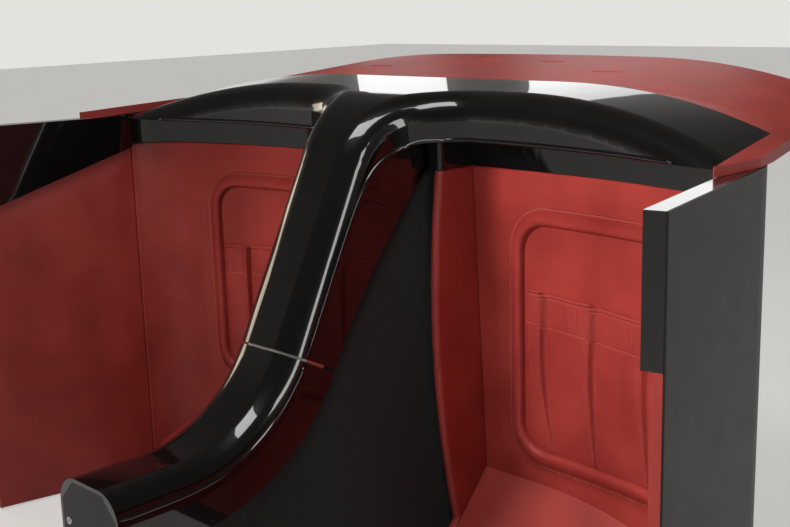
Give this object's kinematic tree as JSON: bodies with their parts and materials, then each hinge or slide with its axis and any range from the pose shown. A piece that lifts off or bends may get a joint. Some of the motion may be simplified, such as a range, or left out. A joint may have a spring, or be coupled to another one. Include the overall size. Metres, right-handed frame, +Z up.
{
  "type": "rear cabin bulkhead trim with centre spine",
  "caption": "Wide trimmed rear cabin wall of a street rod coupe: gloss black beam with a waterfall spine, red leather alcoves with gathered pockets, and a parcel shelf.",
  "frame": {"origin": "Centre of the floor sheet's four bolt holes, on the sheet's underside, which is the face that lies on the car's floor.", "axes": "+X is the car's left, +Y is rearward, +Z is up. The long beam runs along X and the back panels stand upright along Z."},
  "size_m": [1.2364, 0.8811, 0.6989],
  "materials": {
    "red_leather": "satin dyed hide over padded plywood boards",
    "red_leather_soft": "satin dyed hide, soft",
    "gloss_black": "polished black lacquer over glass-reinforced mouldings and boards",
    "grey_carpet": "cut-pile carpet glued to board",
    "black_steel": "satin black painted steel sheet",
    "bare_aluminium": "mill finish"
  },
  "bodies": {
    "root": {"back_panel_left": "red_leather", "back_panel_right": "red_leather", "beam_spine": "gloss_black", "bulkhead_sheet": "black_steel", "console_end_plate": "black_steel", "fascia_left": "gloss_black", "fascia_right": "gloss_black", "floor_sheet": "black_steel", "parcel_shelf": "red_leather", "pocket_left": "red_leather_soft", "pocket_right": "red_leather_soft", "pocket_ring_left": "red_leather_soft", "pocket_ring_right": "red_leather_soft", "quarter_cap_left": "gloss_black", "quarter_cap_right": "gloss_black", "quarter_panel_left": "red_leather", "quarter_panel_right": "red_leather", "ramp_panel_left": "red_leather", "ramp_panel_right": "red_leather", "shelf_bracket_left": "black_steel", "shelf_bracket_right": "black_steel", "side_panel_left": "red_leather", "side_panel_right": "red_leather", "spine_lower": "gloss_black", "spine_splice": "bare_aluminium", "tunnel_carpet_left": "grey_carpet", "tunnel_carpet_right": "grey_carpet"}
  },
  "joints": []
}
